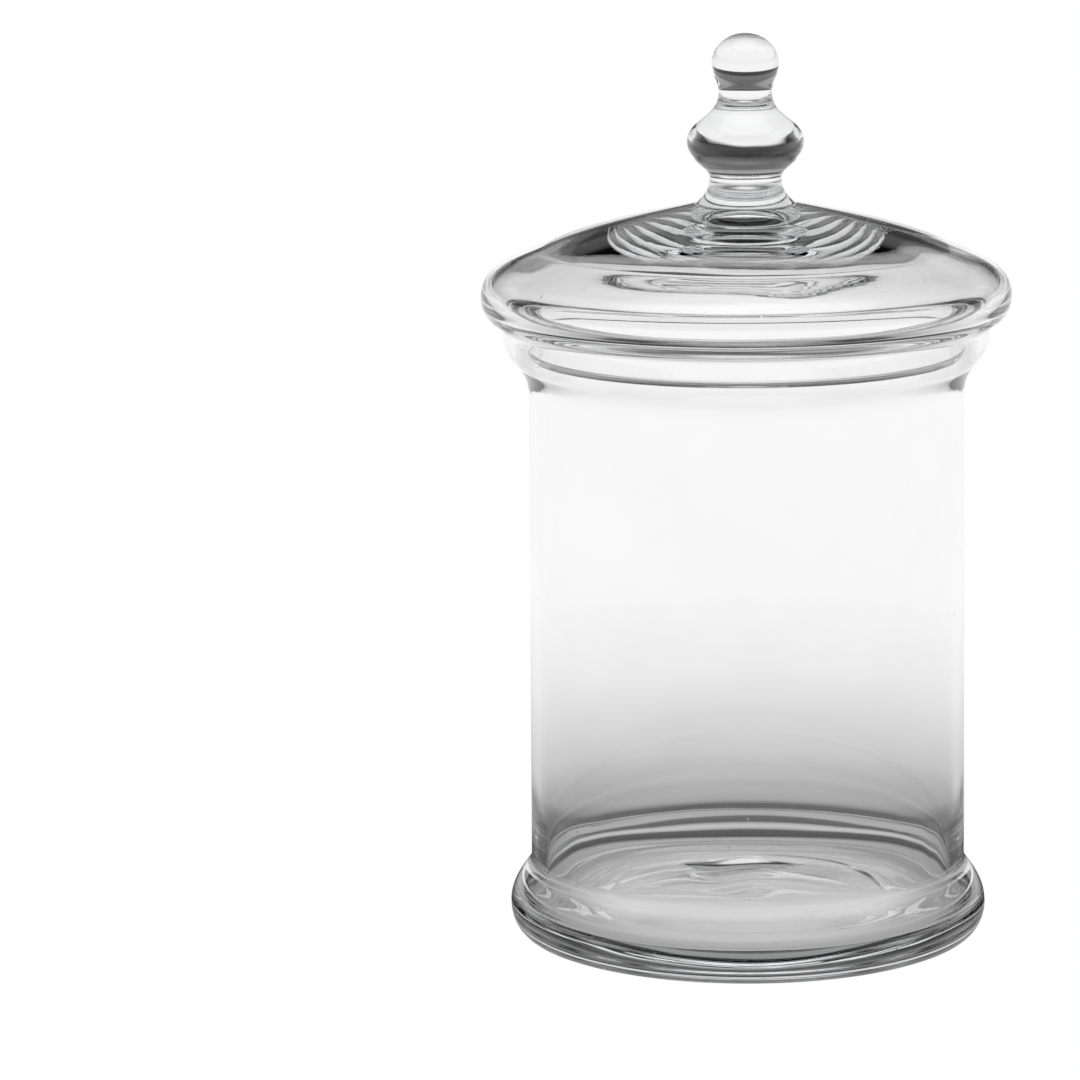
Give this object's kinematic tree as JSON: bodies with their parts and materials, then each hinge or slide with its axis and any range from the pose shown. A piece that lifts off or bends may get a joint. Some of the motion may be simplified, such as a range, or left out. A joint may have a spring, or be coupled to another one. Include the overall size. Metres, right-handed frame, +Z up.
{
  "type": "apothecary jar",
  "caption": "Tall clear glass apothecary jar: a cylinder with a flared collar and a rounded heavy foot, closed by a drop-in domed lid with a solid ball-and-knop handle.",
  "frame": {"origin": "centre of the circle that the jar stands on, at table height", "axes": "+Z up along the jar's axis of revolution, through the knob; X and Y are alike"},
  "size_m": [0.218, 0.218, 0.3753],
  "materials": {
    "thin_glass": "gloss",
    "thick_glass": "gloss"
  },
  "bodies": {
    "vessel": {"vessel_body": "thin_glass", "foot": "thick_glass"},
    "lid": {"lid_shell": "thin_glass", "finial": "thick_glass"}
  },
  "joints": [
    {"name": "lid_lift", "type": "slide", "parent": "vessel", "child": "lid", "axis": [0, 0, 1], "range_m": [0, 0.06]}
  ]
}
